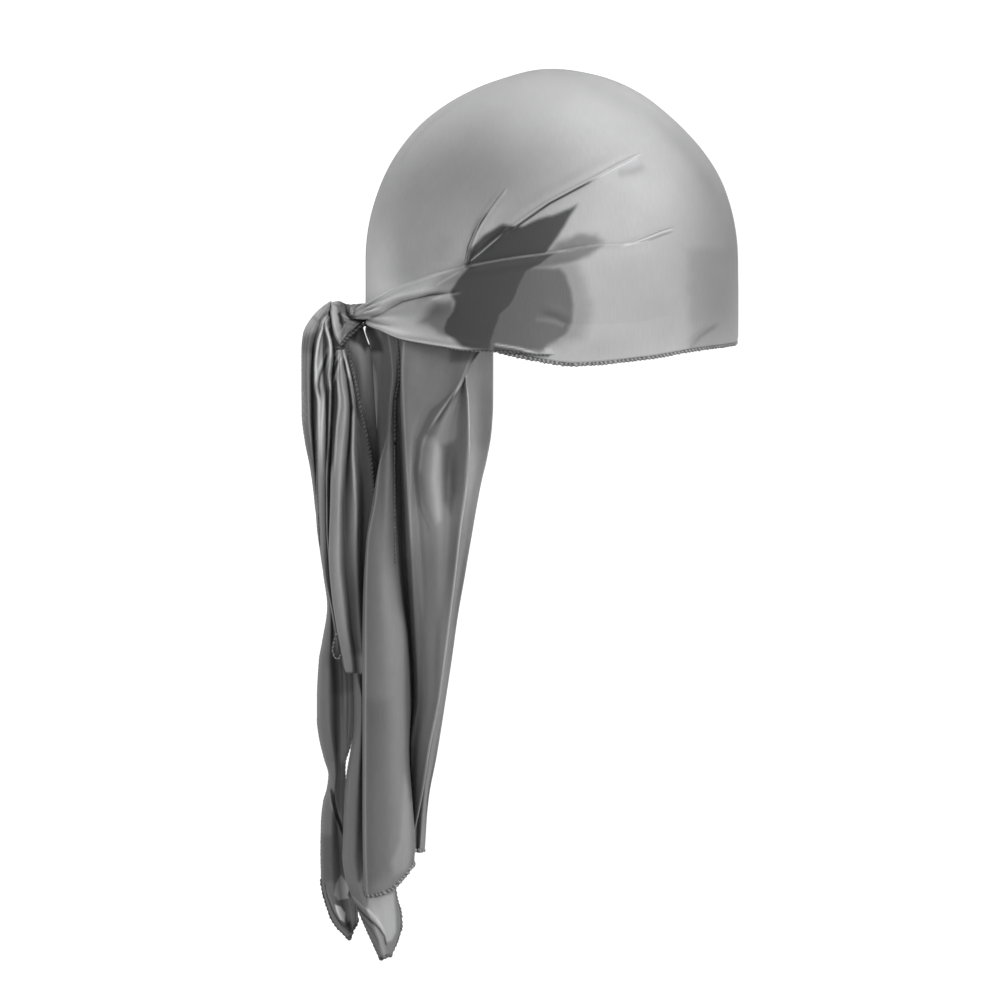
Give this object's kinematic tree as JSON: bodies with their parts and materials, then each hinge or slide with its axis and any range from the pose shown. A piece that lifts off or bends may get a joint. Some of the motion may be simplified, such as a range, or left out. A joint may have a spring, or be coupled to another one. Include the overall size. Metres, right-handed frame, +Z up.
{
  "type": "durag",
  "caption": "Close-fitting satin head cover with wide side straps knotted at the nape, hanging tails and a long folded cape behind the neck.",
  "frame": {"origin": "inside of the crown's top, where the top of the head bears", "axes": "+Z up, the wearer faces -Y, the wearer's right side is -X"},
  "size_m": [0.1606, 0.2402, 0.4834],
  "materials": {
    "satin": "thin grey satin with a soft sheen",
    "hem_thread": "overlocked thread over a rolled edge"
  },
  "bodies": {
    "root": {"crown": "satin", "crown_hem": "hem_thread", "strap_right": "satin", "strap_left": "satin", "knot_core": "satin", "knot_wrap": "satin", "cape": "satin", "short_tail": "satin", "long_tail": "satin"}
  },
  "joints": []
}
